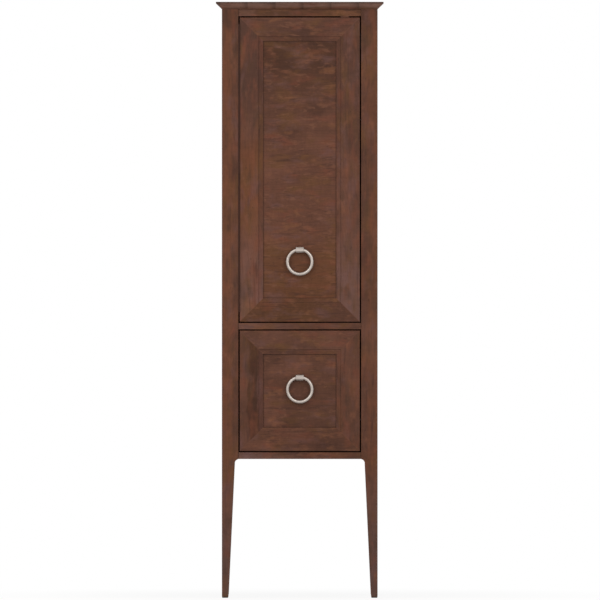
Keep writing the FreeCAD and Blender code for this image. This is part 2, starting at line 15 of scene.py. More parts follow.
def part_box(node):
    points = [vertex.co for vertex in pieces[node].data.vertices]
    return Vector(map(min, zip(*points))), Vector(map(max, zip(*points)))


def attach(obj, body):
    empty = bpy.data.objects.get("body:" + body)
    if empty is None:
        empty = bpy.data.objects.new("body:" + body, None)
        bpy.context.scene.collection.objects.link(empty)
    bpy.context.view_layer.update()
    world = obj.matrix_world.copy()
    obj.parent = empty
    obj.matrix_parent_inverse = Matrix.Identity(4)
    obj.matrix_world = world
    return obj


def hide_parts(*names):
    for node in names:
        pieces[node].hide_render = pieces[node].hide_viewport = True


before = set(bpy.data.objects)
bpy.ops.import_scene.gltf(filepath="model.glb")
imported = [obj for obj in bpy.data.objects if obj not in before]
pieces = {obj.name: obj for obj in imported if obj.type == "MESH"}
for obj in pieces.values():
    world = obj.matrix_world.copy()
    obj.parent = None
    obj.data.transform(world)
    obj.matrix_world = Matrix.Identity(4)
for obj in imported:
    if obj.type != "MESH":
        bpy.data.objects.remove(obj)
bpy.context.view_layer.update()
scene = bpy.context.scene
MM = 0.001

# %% [markdown]
# ## The view
# The photograph looks straight at the front with almost no perspective: the rear legs hide exactly behind
# the front ones, and nothing of the rear shows above or below the crown. A very long lens from far away,
# level with the crown, gives that look. An orthographic camera would too, but a long lens still lets
# another view fit its own distance.

# %% Camera
LENS_MM = 1600.0
SENSOR_MM = 36.0
# How much the picture shows at the front posts, and where its middle lies
VIEW_WIDTH = 1.7112
VIEW_ASIDE = 0.0007
VIEW_HEIGHT = 0.8496

view_middle = Vector((VIEW_ASIDE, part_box("front_left_post")[0].y, VIEW_HEIGHT))
view_distance = VIEW_WIDTH * LENS_MM / SENSOR_MM
lens = bpy.data.cameras.new("front_view")
lens.lens = LENS_MM
lens.sensor_width = SENSOR_MM
lens.clip_end = 2 * view_distance
camera = bpy.data.objects.new("front_view", lens)
camera.location = (view_middle.x, view_middle.y - view_distance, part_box("crown")[0].z)
camera.rotation_euler = (view_middle - camera.location).to_track_quat("-Z", "Y").to_euler()
scene.collection.objects.link(camera)
scene.camera = camera
scene.view_settings.view_transform = "Standard"
print("camera stands", round(view_distance, 2), "m in front of the posts")

# %% [markdown]
# ## Colours and nodes
# Colours are written as they look on a screen, in hex, and one function turns them to the linear values
# that a shader works in. A second function adds any node: what it is given for an input is linked if it is
# a socket and set if it is a value. Every material below is built with these two.


# %% Colour and node helpers
def linear(hex_colour):
    """Linear, opaque colour of an sRGB hex value."""
    shares = [int(hex_colour[at:at + 2], 16) / 255 for at in (1, 3, 5)]
    return [s / 12.92 if s <= 0.04045 else ((s + 0.055) / 1.055) ** 2.4 for s in shares] + [1.0]


def add(tree, kind, inputs=None, **settings):
    """Adds a node with its settings; each input is linked to a socket or set to a value."""
    made = tree.nodes.new(kind)
    for name, value in settings.items():
        setattr(made, name, value)
    for name, value in (inputs or {}).items():
        if isinstance(value, bpy.types.NodeSocket):
            tree.links.new(value, made.inputs[name])
        else:
            made.inputs[name].default_value = value
    return made


# %% [markdown]
# ## Floor and light
# A pale studio floor takes a soft shadow, and two large softboxes high in front, one on each side, light the
# sloped frames evenly from left and right and a little more from above. The white ground is the world itself,
# seen at strength 1 by the camera, by metal and by glass, while the light that it sheds stays lower. Away
# from the legs the floor goes over into that white, so that no edge of it shows.

# %% Floor
FLOOR_RADIUS = 4.0
FLOOR_SEGMENTS = 96
# Under the cabinet the floor glows by this share and is lit for the rest; beyond the shadow's reach, in
# metres from the middle, it only glows.
GLOW_IN_SHADOW = 0.86
SHADOW_CORE = 0.1
SHADOW_REACH = 1.3
# A span that starts and ends softly
SOFT = {"interpolation_type": "SMOOTHSTEP"}

disc = bmesh.new()
bmesh.ops.create_circle(disc, cap_ends=True, segments=FLOOR_SEGMENTS, radius=FLOOR_RADIUS)
floor_mesh = bpy.data.meshes.new("studio_floor")
disc.to_mesh(floor_mesh)
disc.free()
floor = bpy.data.objects.new("studio_floor", floor_mesh)
scene.collection.objects.link(floor)

floor_paint = bpy.data.materials.new("white_studio_floor")
floor_paint.use_nodes = True
tree = floor_paint.node_tree
tree.nodes.clear()
seen = add(tree, "ShaderNodeLightPath").outputs["Is Camera Ray"]
spot = add(tree, "ShaderNodeTexCoord").outputs["Object"]
away = add(tree, "ShaderNodeVectorMath", {0: spot}, operation="LENGTH").outputs["Value"]
share = add(tree, "ShaderNodeMapRange", {"Value": away, "From Min": SHADOW_CORE, "From Max": SHADOW_REACH,
                                         "To Min": GLOW_IN_SHADOW, "To Max": 1.0}, **SOFT)
share_seen = add(tree, "ShaderNodeMath", {0: seen, 1: share.outputs[0]}, operation="MULTIPLY")
matt = add(tree, "ShaderNodeBsdfDiffuse", {"Color": linear("#f8f8f8")})
glow = add(tree, "ShaderNodeEmission", {"Color": linear("#ffffff"), "Strength": 1.0})
both = add(tree, "ShaderNodeMixShader", {0: share_seen.outputs[0], 1: matt.outputs[0], 2: glow.outputs[0]})
add(tree, "ShaderNodeOutputMaterial", {"Surface": both.outputs[0]})
floor_mesh.materials.append(floor_paint)
print("floor", FLOOR_RADIUS * 2, "m across")

# %% World
WORLD_LIGHT = 0.45

world = bpy.data.worlds.new("white_studio")
world.use_nodes = True
scene.world = world
tree = world.node_tree
tree.nodes.clear()
path = add(tree, "ShaderNodeLightPath")
seen = path.outputs["Is Camera Ray"]
for ray in ("Is Glossy Ray", "Is Transmission Ray"):
    seen = add(tree, "ShaderNodeMath", {0: seen, 1: path.outputs[ray]}, operation="MAXIMUM").outputs[0]
shed = add(tree, "ShaderNodeBackground", {"Color": linear("#ffffff"), "Strength": WORLD_LIGHT})
shown = add(tree, "ShaderNodeBackground", {"Color": linear("#ffffff"), "Strength": 1.0})
ground = add(tree, "ShaderNodeMixShader", {0: seen, 1: shed.outputs[0], 2: shown.outputs[0]})
add(tree, "ShaderNodeOutputWorld", {"Surface": ground.outputs[0]})
print("world sheds", WORLD_LIGHT, "and is seen at 1")

# %% Softboxes
SOFTBOX_SIZE = 2.2
SOFTBOX_WATTS = 40.0
SOFTBOX_ASIDE = 2.0
SOFTBOX_FORWARD = 2.6
SOFTBOX_HEIGHT = 2.6

for name, side in (("softbox_left", -1), ("softbox_right", 1)):
    lamp = bpy.data.lights.new(name, "AREA")
    lamp.shape = "SQUARE"
    lamp.size = SOFTBOX_SIZE
    lamp.energy = SOFTBOX_WATTS
    holder = bpy.data.objects.new(name, lamp)
    holder.location = (side * SOFTBOX_ASIDE, -SOFTBOX_FORWARD, SOFTBOX_HEIGHT)
    holder.rotation_euler = (view_middle - holder.location).to_track_quat("-Z", "Y").to_euler()
    scene.collection.objects.link(holder)
print("two softboxes of", SOFTBOX_WATTS, "W")

# %% [markdown]
# ## Softened edges
# A joiner takes the sharpness off every board with a few strokes of sandpaper, and the thin line of light
# along such an edge is what makes a board look solid. The mesh of a solid stays as it is, so the edge is
# eased with modifiers: a weld joins the corners that the file keeps apart, and a narrow bevel follows.
# Glass and nylon are eased the same way, and small metal parts by less. Boards held in grooves show no
# edge, and posts, crown, fronts and pulls have their rounds in the solids, so those stay as they are.

# %% Eased edges
WELD_MM = 0.001
EASED_FROM_DEGREES = 50
ROUND_SEGMENTS = 2


def ease_edges(piece, width_mm):
    """Welds a solid's corners and takes a narrow round off its sharp edges."""
    weld = piece.modifiers.new("weld", "WELD")
    weld.merge_threshold = WELD_MM * MM
    round_over = piece.modifiers.new("round_over", "BEVEL")
    round_over.width = width_mm * MM
    round_over.segments = ROUND_SEGMENTS
    round_over.limit_method = "ANGLE"
    round_over.angle_limit = math.radians(EASED_FROM_DEGREES)
    round_over.use_clamp_overlap = True
    round_over.harden_normals = True


slides = [f"{side}_slide_{channel}" for channel in ("outer", "middle", "inner")
          for side in ("left", "right")]
eased_mm = {
    0.5: ["front_top_rail", "front_middle_rail", "front_bottom_rail", "rear_top_rail", "rear_bottom_rail",
          "left_side_panel", "right_side_panel", "door_stop", "door_rub_block", "lower_shelf", "upper_shelf",
          "drawer_box_front", "drawer_box_back", "drawer_left_side", "drawer_right_side", "foot_glides",
          "catch_body"],
    0.2: slides + ["shelf_pins", "strike_plate", "catch_magnet"],
}
for width_mm, names in eased_mm.items():
    for name in names:
        ease_edges(pieces[name], width_mm)
    print(len(names), "pieces eased by", width_mm, "mm")

# %% [markdown]
# ## Patterns as large as the real thing
# Wood, lacquer and metal all vary in patches that have a length and a width. A noise texture gives such
# patches once its space is divided by those two sizes, so one function takes them in millimetres. Further
# helpers start a material, lead a colour through several tones, make a factor out of several patterns, and
# link the results to the shader.

# %% Pattern helpers
# Places of a mix node's sockets for its share and for colours
MIX_SHARE = 0
COLOUR_FIRST, COLOUR_SECOND, COLOUR_RESULT = 6, 7, 2


def patches(tree, place, size_mm, **settings):
    """Noise in patches of a given length along X and width across it."""
    length, width = size_mm
    scale = (1 / (length * MM), 1 / (width * MM), 1 / (width * MM))
    placed = add(tree, "ShaderNodeMapping", {"Vector": place, "Scale": scale}).outputs[0]
    return add(tree, "ShaderNodeTexNoise", {"Vector": placed, "Scale": 1.0, **settings}).outputs["Fac"]


def tint(tree, colour, steps):
    """A colour that goes over into further tones: each step is a value, its span, a share and a tone."""
    for value, start, end, share, tone in steps:
        amount = add(tree, "ShaderNodeMapRange", {"Value": value, "From Min": start, "From Max": end,
                                                  "To Max": share}, **SOFT)
        mixed = add(tree, "ShaderNodeMix", {MIX_SHARE: amount.outputs[0], COLOUR_FIRST: colour,
                                            COLOUR_SECOND: linear(tone)}, data_type="RGBA")
        colour = mixed.outputs[COLOUR_RESULT]
    return colour


def vary(tree, steps):
    """A factor near one: each step is a value, its span and the factor at the span's two ends."""
    factor = 1.0
    for value, start, end, low, high in steps:
        part = add(tree, "ShaderNodeMapRange", {"Value": value, "From Min": start, "From Max": end,
                                                "To Min": low, "To Max": high}, **SOFT).outputs[0]
        factor = add(tree, "ShaderNodeMath", {0: factor, 1: part}, operation="MULTIPLY").outputs[0]
    return factor


# %% Finish helpers
def finish(name):
    """A new material with its tree, its shader and the place on the piece in the shared frame."""
    material = bpy.data.materials.new(name)
    material.use_nodes = True
    tree = material.node_tree
    return material, tree, tree.nodes["Principled BSDF"], add(tree, "ShaderNodeTexCoord").outputs["Object"]


def coat(tree, shader, linked, levels):
    """Links what varies over a surface to its shader, and sets what is the same all over it."""
    for name, socket in linked.items():
        tree.links.new(socket, shader.inputs[name])
    for name, level in levels.items():
        shader.inputs[name].default_value = level


def dress(name, material):
    """Gives a piece one material in place of those it came with."""
    slots = pieces[name].data.materials
    slots.clear()
    slots.append(material)


# %% [markdown]
# ## Stained wood
# The case is solid wood with a walnut stain under satin lacquer. Stain sinks unevenly into such wood, so the
# surface is cloudy: browns drift over a hand's width, and olive, red and mauve patches a few centimetres
# across show where the wood took less. Over them lie dark streaks along the grain, small dark marks, year
# rings and pores, which show as short dashes. Each of these is its own noise, and the year rings are the
# contour lines of one. Sanding before the last coat rubs the edges a little paler, and the corners are
# darkened, partly by stain that stays there and partly by painted shade, which also falls in gaps and round
# the pulls: the first are found by looking a few millimetres into the solid from each point, the second by
# looking out of it, where a neighbouring piece counts too.

# %% Tones of the stain
# A pattern has its length along the grain and its width in mm, its noise, and then its step for tint.
STAIN = "#573729"
CLOUDS = [
    ((210, 110), {"Detail": 2.0, "Roughness": 0.5, "Distortion": 0.4}, 0.50, 0.30, 0.85, "#452a1f"),
    ((170, 95), {"Detail": 2.0, "Roughness": 0.5, "Distortion": 0.4}, 0.48, 0.70, 0.75, "#6a4435"),
]
MOTTLES = [
    ((96, 44), {"Detail": 3.0, "Roughness": 0.55, "Distortion": 0.3}, 0.46, 0.74, 0.70, "#624024"),
    ((80, 32), {"Detail": 3.0, "Roughness": 0.55, "Distortion": 0.3}, 0.50, 0.76, 0.60, "#713f2d"),
    ((64, 30), {"Detail": 3.0, "Roughness": 0.55, "Distortion": 0.3}, 0.50, 0.76, 0.60, "#65453f"),
    ((52, 27), {"Detail": 3.0, "Roughness": 0.55, "Distortion": 0.2}, 0.54, 0.80, 0.60, "#7c4e38"),
    ((170, 15), {"Detail": 3.0, "Roughness": 0.6, "Distortion": 0.9}, 0.56, 0.76, 0.65, "#40271f"),
    ((11, 5), {"Detail": 2.0, "Roughness": 0.5, "Distortion": 0.5}, 0.62, 0.82, 0.55, "#3a2219"),
]
# Posts and stiles were sawn nearer the heart, so smaller soft patches lie along them.
UPRIGHT_MOTTLES = [
    ((74, 25), {"Detail": 1.0, "Roughness": 0.5, "Distortion": 0.3}, 0.50, 0.76, 0.45, "#73432e"),
    ((62, 22), {"Detail": 1.0, "Roughness": 0.5, "Distortion": 0.3}, 0.50, 0.76, 0.45, "#463024"),
]
# Rails and panels are flat-sawn: where the cut runs out of a ring, pale flecks and dark dashes stay.
ACROSS_MOTTLES = [
    ((74, 34), {"Detail": 4.0, "Roughness": 0.6, "Distortion": 0.2}, 0.58, 0.70, 0.50, "#7a4e34"),
    ((30, 10), {"Detail": 3.0, "Roughness": 0.6, "Distortion": 0.4}, 0.56, 0.70, 0.40, "#79503c"),
    ((44, 7), {"Detail": 3.0, "Roughness": 0.6, "Distortion": 0.8}, 0.58, 0.70, 0.45, "#432a20"),
]
# Rubbed edges, and corners dark with stain and painted shade: how far the look goes, its step for tint, and
# how many looks are taken from a point
RUBBED_MM = 2.5
RUBBED = (0.95, 0.45, 0.15, "#7a4f3a")
CORNER_STAIN_AND_SHADE_MM = 5.0
CORNER_STAIN_AND_SHADE = (0.98, 0.55, 0.60, "#3a231a")
LOOKS = 4
# The border of a zone wanders in bays of this size.
WANDER_MM = (95, 34)


def stain_tones(tree, grain, axes, way, zones):
    """Steps for tint: clouds, the board's zones, mottles, rubbed edges, corners dark with stain and painted
    shade.
    """
    steps = [(patches(tree, grain, size, **settings), *span) for size, settings, *span in CLOUDS]
    wander = patches(tree, grain, WANDER_MM, Detail=3.0, Distortion=0.6)
    for axis, wander_mm, *span in zones:
        off = add(tree, "ShaderNodeMapRange", {"Value": wander, "To Min": -wander_mm * MM,
                                               "To Max": wander_mm * MM}).outputs[0]
        steps.append((add(tree, "ShaderNodeMath", {0: axes[axis], 1: off}).outputs[0], *span))
    mottles = MOTTLES + (UPRIGHT_MOTTLES if way == "up" else ACROSS_MOTTLES)
    steps += [(patches(tree, grain, size, **settings), *span) for size, settings, *span in mottles]
    looked_in = add(tree, "ShaderNodeAmbientOcclusion", {"Distance": RUBBED_MM * MM}, samples=LOOKS,
                    inside=True, only_local=True)
    # Looking out of the solid darkens corners and gaps: stain in the corners, and painted shade.
    stain_and_shade_look = add(tree, "ShaderNodeAmbientOcclusion", {"Distance": CORNER_STAIN_AND_SHADE_MM * MM}, samples=LOOKS)
    return steps + [(looked_in.outputs["AO"], *RUBBED), (stain_and_shade_look.outputs["AO"], *CORNER_STAIN_AND_SHADE)]


# %% Year rings and staves
# The swell of a flat-sawn board, and how many year rings it cuts from its foot to its top
SWELL_MM = (640, 85)
RINGS = 30
# Heights between which the crown's lip ends and its flat top begins. On the top, joints fade by this share
# into the look of a stave's middle.
TOP_EDGE = (1.6998, 1.69995)
JOINT_FADE = 0.6
STAVE_MIDDLE = 0.5
# Along a stave, from 0 to 1, the wood is darker before a joint and a little darker just after it.
STAVE_DEPTHS = [(0.74, 1.0, 1.0, 0.6), (0.0, 0.3, 0.92, 1.03)]
# Places of a mix node's sockets for numbers
NUMBER_FIRST, NUMBER_SECOND, NUMBER_RESULT = 2, 3, 0


def year_rings(tree, grain):
    """Contour lines of a long, low swell: each goes from 0 to 1 over a year's growth."""
    swell = patches(tree, grain, SWELL_MM, Detail=1.0, Roughness=0.4, Distortion=0.2)
    count = add(tree, "ShaderNodeMath", {0: swell, 1: RINGS}, operation="MULTIPLY").outputs[0]
    return add(tree, "ShaderNodeMath", {0: count}, operation="FRACT").outputs[0]


def stave_joints(tree, axes, stave_mm):
    """Steps for vary along staves glued end to end, of which two joints are given."""
    first, second = stave_mm
    along = add(tree, "ShaderNodeMapRange", {"Value": axes["X"], "From Min": first * MM,
                                             "From Max": second * MM}, clamp=False).outputs[0]
    within = add(tree, "ShaderNodeMath", {0: along}, operation="FRACT").outputs[0]
    lip_end, top_start = TOP_EDGE
    fade = add(tree, "ShaderNodeMapRange", {"Value": axes["Z"], "From Min": lip_end,
                                            "From Max": top_start, "To Max": JOINT_FADE}).outputs[0]
    faded = add(tree, "ShaderNodeMix", {MIX_SHARE: fade, NUMBER_FIRST: within, NUMBER_SECOND: STAVE_MIDDLE},
                data_type="FLOAT").outputs[NUMBER_RESULT]
    return [(faded, *span) for span in STAVE_DEPTHS]


# %% Stained wood
# How a board's grain is turned to lie along X, where the patterns have their length
TURNED = {"up": (0, math.radians(90), 0), "across": (0, 0, 0), "back": (0, 0, math.radians(-90))}
# Each plank lies this much farther along in the noise than the one before.
PLANK_STEP = (0.37, 0.23, 0.11)
# Real streaks are about a millimetre wide and pores a third of that; both are drawn up to three times
# wider to show.
STREAK_MM = (150, 3.2)
PORE_MM = (12.0, 0.9)
FIGURE_MM = (9, 26)
SATIN = {"Specular IOR Level": 0.15}


def stained_hardwood(name, way, plank, zones, shades=(), stave_mm=None):
    """Stained and lacquered wood: zones change its tone along an axis, shades its depth."""
    material, tree, shader, spot = finish(name)
    grain = add(tree, "ShaderNodeMapping", {"Vector": spot, "Rotation": TURNED[way],
                                            "Location": [step * plank for step in PLANK_STEP]}).outputs[0]
    axes = add(tree, "ShaderNodeSeparateXYZ", {0: spot}).outputs
    colour = tint(tree, linear(STAIN), stain_tones(tree, grain, axes, way, zones))
    streak = patches(tree, grain, STREAK_MM, Detail=2.0, Roughness=0.6)
    figure = patches(tree, grain, FIGURE_MM, Detail=2.0, Distortion=0.4)
    pore = patches(tree, grain, PORE_MM, Detail=1.0)
    depths = [(streak, 0.3, 0.7, 0.96, 1.03), (figure, 0.3, 0.7, 0.95, 1.04), (pore, 0.6, 0.74, 1.0, 0.82),
              (year_rings(tree, grain), 0.45, 1.0, 1.02, 0.94)]
    depths += [(axes[axis], *span) for axis, *span in shades]
    if stave_mm:
        depths += stave_joints(tree, axes, stave_mm)
    depth = vary(tree, depths)
    toned = add(tree, "ShaderNodeVectorMath", {0: colour, "Scale": depth}, operation="SCALE")
    gloss = add(tree, "ShaderNodeMapRange", {"Value": figure, "From Min": 0.3, "From Max": 0.7,
                                             "To Min": 0.5, "To Max": 0.4})
    relief = add(tree, "ShaderNodeBump", {"Height": depth, "Strength": 0.35, "Distance": 0.25 * MM})
    coat(tree, shader, {"Base Color": toned.outputs[0], "Roughness": gloss.outputs[0],
                        "Normal": relief.outputs[0]}, SATIN)
    return material


# %% [markdown]
# ## Which board runs which way
# Grain follows the length of a post or stile and the width of a rail. The flat panels were cut with their
# grain across, as the photograph shows. Every board came from another plank, so each has its own place in the
# noise. The zones are what the photograph shows of single boards: legs greyer towards their feet, stile feet
# paler and mauve as a painted sheen, rails paler at the left, a warm outer edge of sapwood on the posts,
# which are darker under the crown as painted shade, dark heartwood on one stile, and the crown glued up from
# staves, whose joints fade on its flat top and whose underside slope is paler as painted light from below.

# %% Zones that several boards share
# A zone has its axis, how far its border wanders in mm, where it begins and is full in metres, its share
# and its tone.
MAUVE, GREY, WARM, DARK, PALE = "#6f4f47", "#5a443d", "#74452b", "#412719", "#6c4434"
leg_fade = ("Z", 40, 0.46, 0.10, 0.75, GREY)
# The posts darken under the crown: painted shade.
painted_shade_under_crown = ("Z", 10, 1.605, 1.645, 0.85, "#4b2e21")
# The feet of the stiles turn paler and mauve: a painted sheen.
painted_sheen_on_stile_feet = ("Z", 40, 1.16, 0.84, 0.8, MAUVE)
rail_fade = ("X", 25, 0.04, -0.14, 0.5, MAUVE)
left_post = [("X", 6, -0.188, -0.199, 0.4, WARM), painted_shade_under_crown, leg_fade]
right_post = [("X", 6, 0.188, 0.199, 0.3, WARM), painted_shade_under_crown, leg_fade]

# %% Boards and their grain
boards = {
    "front_left_post": ("up", left_post),
    "front_right_post": ("up", right_post),
    "rear_left_post": ("up", left_post),
    "rear_right_post": ("up", right_post),
    # The crown's underside slope and all above it are paler: painted light from below.
    "crown": ("across", [("Z", 0, 1.678, 1.690, 0.8, "#856457")]),
    "front_top_rail": ("across", [("X", 10, -0.125, -0.110, 0.7, "#4f321f"),
                                  ("X", 10, -0.120, -0.135, 0.4, MAUVE),
                                  ("X", 25, 0.0, 0.05, 0.4, "#4a2c1c")]),
    "front_middle_rail": ("across", [rail_fade]),
    "front_bottom_rail": ("across", [rail_fade, ("X", 20, -0.02, 0.03, 0.4, "#4c3326"),
                                     ("X", 20, -0.08, -0.15, 0.4, "#7a5c57")]),
    "rear_top_rail": ("across", []),
    "rear_bottom_rail": ("across", []),
    "left_side_panel": ("up", []),
    "right_side_panel": ("up", []),
    "door_stop": ("across", []),
    "door_bottom_rail": ("across", [("X", 30, 0.10, 0.0, 0.5, "#563518")]),
    "door_left_stile": ("up", [("Z", 60, 1.28, 1.44, 0.8, "#4c3025"), ("Z", 40, 1.36, 1.24, 0.7, WARM),
                               ("X", 2, -0.122, -0.117, 0.6, "#4a2e24"), painted_sheen_on_stile_feet]),
    "door_top_rail": ("across", [("X", 20, 0.02, 0.07, 0.3, PALE)]),
    "door_right_stile": ("up", [("Z", 40, 1.10, 1.40, 0.5, "#4e3127"),
                                ("Z", 20, 1.53, 1.60, 0.5, "#4f2f1f"), painted_sheen_on_stile_feet]),
    "door_panel": ("across", [("Z", 40, 1.40, 1.54, 0.85, DARK), ("Z", 40, 1.40, 1.22, 0.35, PALE),
                              ("Z", 40, 1.08, 0.92, 0.55, "#603a1d")]),
    "drawer_front_bottom_rail": ("across", [("X", 30, 0.08, -0.08, 0.35, PALE)]),
    "drawer_front_left_stile": ("up", [("X", 18, -0.150, -0.142, 0.7, "#371d0e"),
                                       ("X", 4, -0.122, -0.117, 0.9, "#56352a")]),
    "drawer_front_top_rail": ("across", []),
    "drawer_front_right_stile": ("up", []),
    "drawer_front_panel": ("across", []),
    "door_rub_block": ("across", [("X", 0, 0.0, 0.1, 0.6, "#4e342c")]),
}
# The crown's narrow lip is darker, and its top is nearly as pale as the slope under the lip. The
# staves are told by two neighbouring joints, in mm from the middle.
crown_only = {"shades": [("Z", 1.6945, 1.6955, 1.0, 0.45), ("Z", *TOP_EDGE, 1.0, 2.0)],
              "stave_mm": (10.7, 90.2)}
for plank, (name, (way, zones)) in enumerate(boards.items(), start=1):
    extra = crown_only if name == "crown" else {}
    dress(name, stained_hardwood(f"walnut_stained_wood_{name}", way, plank, zones, **extra))
print(len(boards), "boards of stained wood")

# %% [markdown]
# ## Veneered boards
# The back, the floor of the case and the board between drawer and door are plywood, faced with sliced walnut
# veneer and matt lacquer. Slicing gives long, straight, even stripes, so the noise is stretched far more than
# on the solid wood and there are no clouds. The eye reads it as flat and quiet, which suits hidden boards.

# %% Walnut veneer
VENEER = "#593b2e"
VENEER_STRIPES = [((620, 26), 0.42, 0.64, 0.8, "#6b4838"), ((480, 9), 0.55, 0.72, 0.7, "#482d22"),
                  ((300, 3.5), 0.5, 0.7, 0.5, "#74503d")]
VENEER_STEP = 0.4


def walnut_veneer(name, way, sheet):
    """Sliced veneer under matt lacquer."""
    material, tree, shader, spot = finish(name)
    grain = add(tree, "ShaderNodeMapping", {"Vector": spot, "Rotation": TURNED[way],
                                            "Location": (VENEER_STEP * sheet,) * 3}).outputs[0]
    stripes = [(patches(tree, grain, size, Detail=2.0, Distortion=0.5), *span)
               for size, *span in VENEER_STRIPES]
    colour = tint(tree, linear(VENEER), stripes)
    depth = vary(tree, [(patches(tree, grain, PORE_MM, Detail=1.0), 0.6, 0.74, 1.0, 0.84)])
    toned = add(tree, "ShaderNodeVectorMath", {0: colour, "Scale": depth}, operation="SCALE")
    gloss = add(tree, "ShaderNodeMapRange", {"Value": stripes[0][0], "To Min": 0.62, "To Max": 0.5})
    relief = add(tree, "ShaderNodeBump", {"Height": depth, "Strength": 0.3, "Distance": 0.15 * MM})
    coat(tree, shader, {"Base Color": toned.outputs[0], "Roughness": gloss.outputs[0],
                        "Normal": relief.outputs[0]}, SATIN)
    return material


veneered = {"back_panel": "up", "bottom_board": "across", "middle_board": "across"}
for sheet, (name, way) in enumerate(veneered.items(), start=1):
    dress(name, walnut_veneer(f"walnut_veneer_{name}", way, sheet))
print(len(veneered), "veneered boards")

# %% [markdown]
# ## Beech
# The drawer box, the blocks behind its slides and the dowels are planed beech under clear matt lacquer. Beech
# is pale and pinkish, with soft growth bands and many short brown flecks, its rays. The flecks are what tells
# it from other pale woods, so they get a noise of their own.

# %% Planed beech
BEECH = "#c2976c"
BEECH_BANDS_MM = (420, 22)
BEECH_FINE_MM = (180, 3)
# Ray flecks are about 3 mm by 0.4 mm; they are drawn twice as wide to show.
BEECH_FLECK_MM = (3.2, 0.8)
BEECH_STEP = 0.3


def planed_beech(name, way, plank):
    """Beech with growth bands and ray flecks, clear matt lacquer."""
    material, tree, shader, spot = finish(name)
    grain = add(tree, "ShaderNodeMapping", {"Vector": spot, "Rotation": TURNED[way],
                                            "Location": (BEECH_STEP * plank,) * 3}).outputs[0]
    band = patches(tree, grain, BEECH_BANDS_MM, Detail=3.0, Distortion=0.6)
    fine = patches(tree, grain, BEECH_FINE_MM, Detail=2.0)
    fleck = patches(tree, grain, BEECH_FLECK_MM, Detail=0.0)
    colour = tint(tree, linear(BEECH), [(band, 0.38, 0.62, 0.8, "#d3ac84"), (fine, 0.5, 0.72, 0.5, "#b98d63"),
                                        (fleck, 0.62, 0.72, 0.7, "#9c6f48")])
    gloss = add(tree, "ShaderNodeMapRange", {"Value": band, "To Min": 0.58, "To Max": 0.46})
    relief = add(tree, "ShaderNodeBump", {"Height": fine, "Strength": 0.25, "Distance": 0.12 * MM})
    coat(tree, shader, {"Base Color": colour, "Roughness": gloss.outputs[0], "Normal": relief.outputs[0]},
         {"Specular IOR Level": 0.3})
    return material


beech_pieces = {"drawer_box_front": "across", "drawer_box_back": "across", "drawer_left_side": "back",
                "drawer_right_side": "back", "drawer_bottom": "across", "left_slide_block": "back",
                "right_slide_block": "back", "crown_dowels": "up"}
for plank, (name, way) in enumerate(beech_pieces.items(), start=1):
    dress(name, planed_beech(f"planed_beech_{name}", way, plank))
print(len(beech_pieces), "pieces of beech")

# %% [markdown]
# ## Glass shelves
# The two shelves are toughened float glass. Through its face float glass is nearly clear; along its edges the
# eye looks through centimetres of it and sees the green of its iron. The face of a shelf points up or down
# and its edges point sideways, so the object's own normal tells them apart. The edges are polished to a
# satin, so they scatter the light that falls through the door's gap instead of mirroring it.

# %% Float glass
SMEAR_MM = (60, 35)
GLASS_IOR = 1.52
EDGE_ROUGHNESS = 0.35
# The upright share of the normal: above the first it is a face, below the second an edge
FACE_TO_EDGE = (0.9, 0.4)

glass, tree, shader, spot = finish("toughened_float_glass")
normal = add(tree, "ShaderNodeTexCoord").outputs["Normal"]
facing = add(tree, "ShaderNodeSeparateXYZ", {0: normal}).outputs["Z"]
upright = add(tree, "ShaderNodeMath", {0: facing}, operation="ABSOLUTE").outputs[0]
colour = tint(tree, linear("#eef6f2"), [(upright, *FACE_TO_EDGE, 0.9, "#5d9a86")])
smear = patches(tree, spot, SMEAR_MM, Detail=3.0, Distortion=1.0)
haze = add(tree, "ShaderNodeMapRange", {"Value": smear, "From Min": 0.45, "From Max": 0.75,
                                        "To Min": 0.01, "To Max": 0.07}).outputs[0]
face, edge = FACE_TO_EDGE
satin = add(tree, "ShaderNodeMapRange", {"Value": upright, "From Min": face, "From Max": edge,
                                         "To Max": EDGE_ROUGHNESS}, **SOFT).outputs[0]
gloss = add(tree, "ShaderNodeMath", {0: haze, 1: satin})
coat(tree, shader, {"Base Color": colour, "Roughness": gloss.outputs[0]},
     {"Transmission Weight": 1.0, "IOR": GLASS_IOR})
for name in ("lower_shelf", "upper_shelf"):
    dress(name, glass)
print("two glass shelves")

# %% [markdown]
# ## Satin nickel
# The ring pulls, their bosses and the shelf pins are cast or turned, then plated with nickel and brushed to a
# satin. Nickel is warmer than chrome, and the satin turns the studio into one soft, even grey with hardly any
# highlight. The brushing is finer than a pixel, so it is drawn coarser, as faint lines that vary the gloss.

# %% Satin nickel
BRUSHED_MM = (14, 0.9)
HANDLED_MM = (18, 11)

nickel, tree, shader, spot = finish("satin_nickel_plate")
brushed = patches(tree, spot, BRUSHED_MM, Detail=2.0)
handled = patches(tree, spot, HANDLED_MM, Detail=2.0, Distortion=0.6)
colour = tint(tree, linear("#b9afa7"), [(handled, 0.45, 0.7, 0.6, "#aca199"),
                                        (brushed, 0.5, 0.75, 0.35, "#9d928b")])
gloss = add(tree, "ShaderNodeMapRange", {"Value": handled, "From Min": 0.3, "From Max": 0.7,
                                         "To Min": 0.42, "To Max": 0.54})
relief = add(tree, "ShaderNodeBump", {"Height": brushed, "Strength": 0.12, "Distance": 0.05 * MM})
coat(tree, shader, {"Base Color": colour, "Roughness": gloss.outputs[0], "Normal": relief.outputs[0]},
     {"Metallic": 1.0})
nickel_pieces = ["door_pull_boss", "door_pull_ring", "drawer_pull_boss", "drawer_pull_ring", "shelf_pins"]
for name in nickel_pieces:
    dress(name, nickel)
print(len(nickel_pieces), "pieces of satin nickel")

# %% [markdown]
# ## Black-coated steel
# The drawer slides are pressed steel, dipped in black paint by current. The coat is thin and even, with a
# faint orange peel, and a film of grease makes it shine in stripes along the way it runs.

# %% Black electro-coat
GREASE_MM = (70, 4)
PEEL_MM = (1.6, 1.6)

